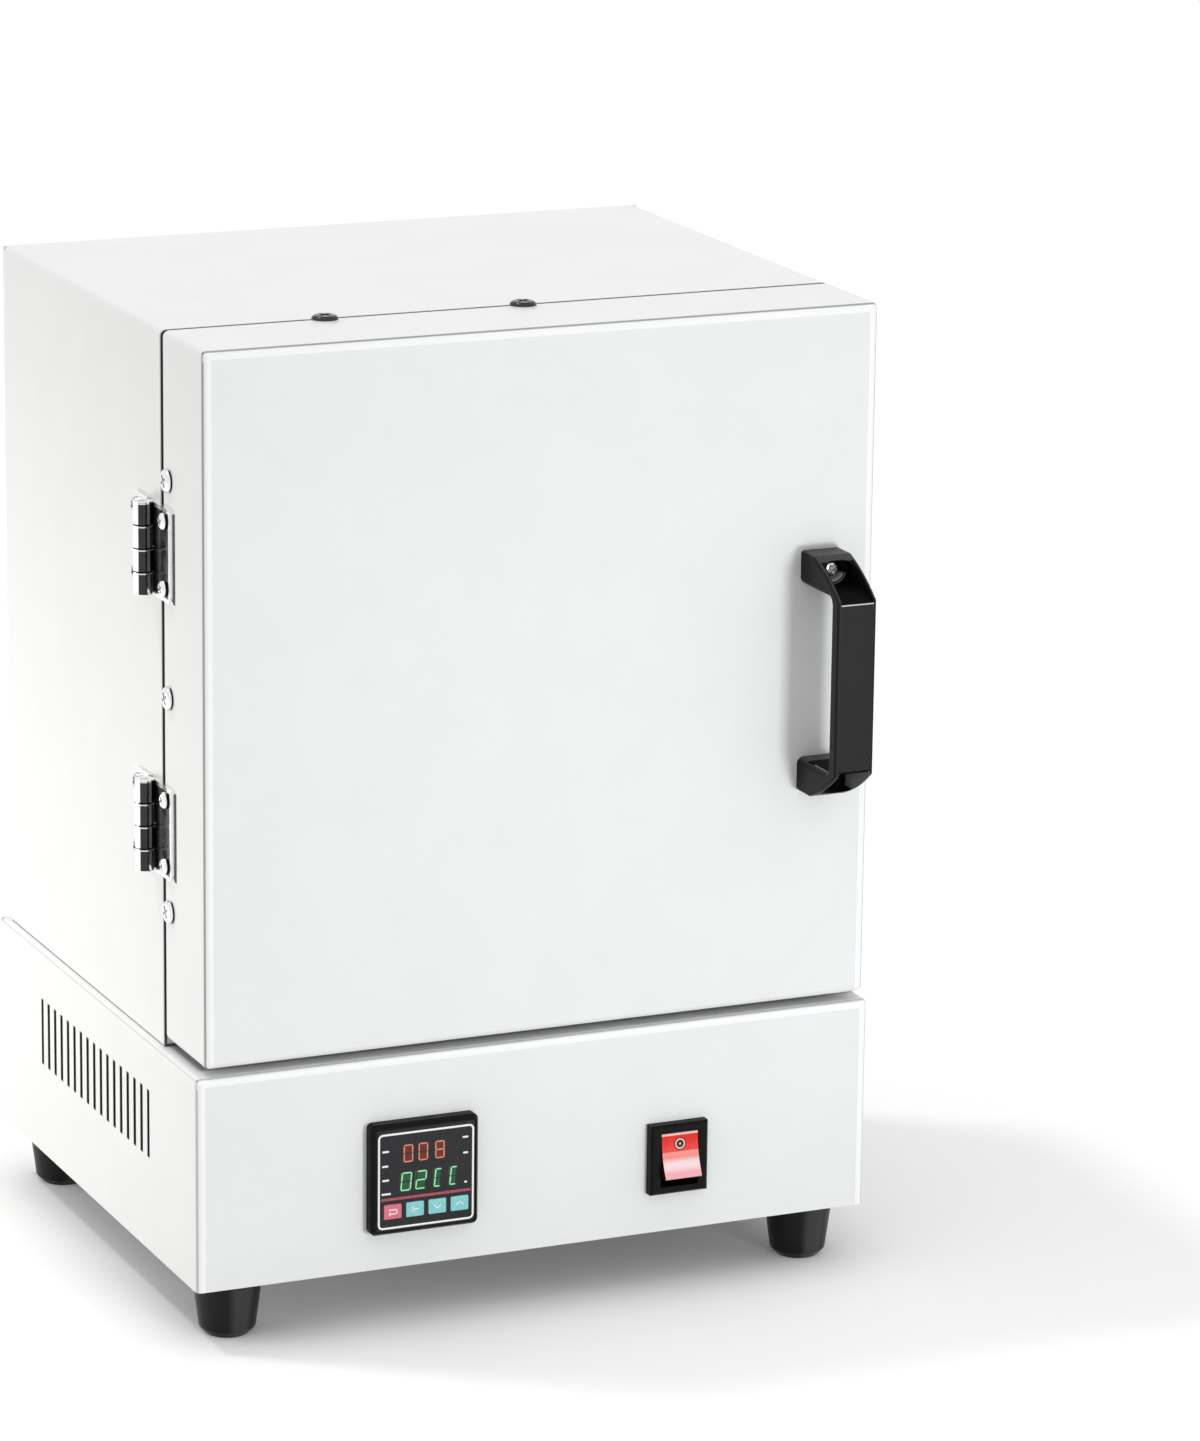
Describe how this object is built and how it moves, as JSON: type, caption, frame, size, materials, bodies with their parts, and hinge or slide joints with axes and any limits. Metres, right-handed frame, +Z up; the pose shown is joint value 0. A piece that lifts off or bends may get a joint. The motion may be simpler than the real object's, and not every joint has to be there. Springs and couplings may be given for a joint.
{
  "type": "electric pottery kiln",
  "caption": "Bench-top electric kiln: white sheet-metal casing over a control base, side-hinged insulated door with a bridge handle, temperature controller and rocker switch.",
  "frame": {"origin": "on the floor under the middle of the whole kiln's outline, handle and hinges included", "axes": "+X to the kiln's right as seen by its user, +Y from the door towards the back, +Z up"},
  "size_m": [0.3124, 0.294, 0.4259],
  "materials": {
    "white_powder_coat": "fine-textured white powder coat",
    "zinc_sheet": "galvanised sheet",
    "ceramic_fibre": "vacuum-formed ceramic fibre board",
    "hearth_ceramic": "fired cordierite",
    "probe_ceramic": "fired alumina",
    "resistance_wire": "oxidised resistance wire",
    "black_plastic": "moulded, satin",
    "black_rubber": "moulded, smooth",
    "smoked_face": "tinted film, glossy",
    "rocker_red": "translucent red",
    "key_pink": "printed film key",
    "key_cyan": "printed film key",
    "polished_steel": "polished and plated",
    "brass": "plain",
    "aluminium": "extruded, anodised",
    "ferrite": "sintered magnet",
    "relay_plastic": "moulded",
    "silicone_lead": "silicone-covered wire"
  },
  "bodies": {
    "kiln_body": {"base_shell": "white_powder_coat", "base_floor": "zinc_sheet", "base_back_panel": "white_powder_coat", "base_back_screws": "polished_steel", "feet": "black_rubber", "foot_screws": "polished_steel", "power_inlet": "black_plastic", "inlet_contacts": "brass", "inlet_screws": "polished_steel", "wire_grommet": "black_rubber", "controller_bezel": "black_plastic", "controller_faceplate": "smoked_face", "controller_case": "black_plastic", "controller_clamp": "black_plastic", "display_module": "black_plastic", "switch_housing": "black_plastic", "switch_terminals": "brass", "relay_heat_sink": "aluminium", "solid_state_relay": "relay_plastic", "terminal_block": "probe_ceramic", "casing_shell": "white_powder_coat", "casing_front_frame": "zinc_sheet", "casing_back_panel": "white_powder_coat", "casing_back_screws": "polished_steel", "insulation_floor": "ceramic_fibre", "insulation_roof": "ceramic_fibre", "insulation_back": "ceramic_fibre", "insulation_left": "ceramic_fibre", "insulation_right": "ceramic_fibre", "heating_coil_left": "resistance_wire", "heating_coil_right": "resistance_wire", "heater_terminals": "brass", "kiln_shelf": "hearth_ceramic", "thermocouple_sheath": "probe_ceramic", "thermocouple_head": "probe_ceramic", "catch_magnets": "ferrite", "upper_hinge_casing_leaf": "polished_steel", "lower_hinge_casing_leaf": "polished_steel", "hinge_pins": "polished_steel", "hinge_casing_screws": "polished_steel", "mains_leads": "silicone_lead", "heater_leads": "silicone_lead", "thermocouple_lead": "silicone_lead"},
    "door": {"door_shell": "white_powder_coat", "door_liner": "zinc_sheet", "door_insulation": "ceramic_fibre", "door_plug": "ceramic_fibre", "door_gasket": "ceramic_fibre", "door_side_screws": "polished_steel", "door_top_screws": "polished_steel", "handle": "black_plastic", "handle_screws": "polished_steel", "upper_hinge_door_leaf": "polished_steel", "lower_hinge_door_leaf": "polished_steel", "hinge_door_screws": "polished_steel"},
    "power_rocker": {"switch_rocker": "rocker_red"},
    "set_key": {"key_set": "key_pink"},
    "left_key": {"key_left": "key_cyan"},
    "down_key": {"key_down": "key_cyan"},
    "up_key": {"key_up": "key_cyan"}
  },
  "joints": [
    {"name": "door_hinge", "type": "hinge", "parent": "kiln_body", "child": "door", "pos_m": [-0.15225, -0.05355, 0.27265], "axis": [0, 0, -1], "range_deg": [0, 170]},
    {"name": "power_rocker_tilt", "type": "hinge", "parent": "kiln_body", "child": "power_rocker", "pos_m": [0.06635, -0.10835, 0.0595], "axis": [1, 0, 0], "range_deg": [0, 30]},
    {"name": "set_key_press", "type": "slide", "parent": "kiln_body", "child": "set_key", "axis": [0, 1, 0], "range_m": [0, 0.0004], "stiffness_N_per_m": 1500},
    {"name": "left_key_press", "type": "slide", "parent": "kiln_body", "child": "left_key", "axis": [0, 1, 0], "range_m": [0, 0.0004], "stiffness_N_per_m": 1500},
    {"name": "down_key_press", "type": "slide", "parent": "kiln_body", "child": "down_key", "axis": [0, 1, 0], "range_m": [0, 0.0004], "stiffness_N_per_m": 1500},
    {"name": "up_key_press", "type": "slide", "parent": "kiln_body", "child": "up_key", "axis": [0, 1, 0], "range_m": [0, 0.0004], "stiffness_N_per_m": 1500}
  ]
}
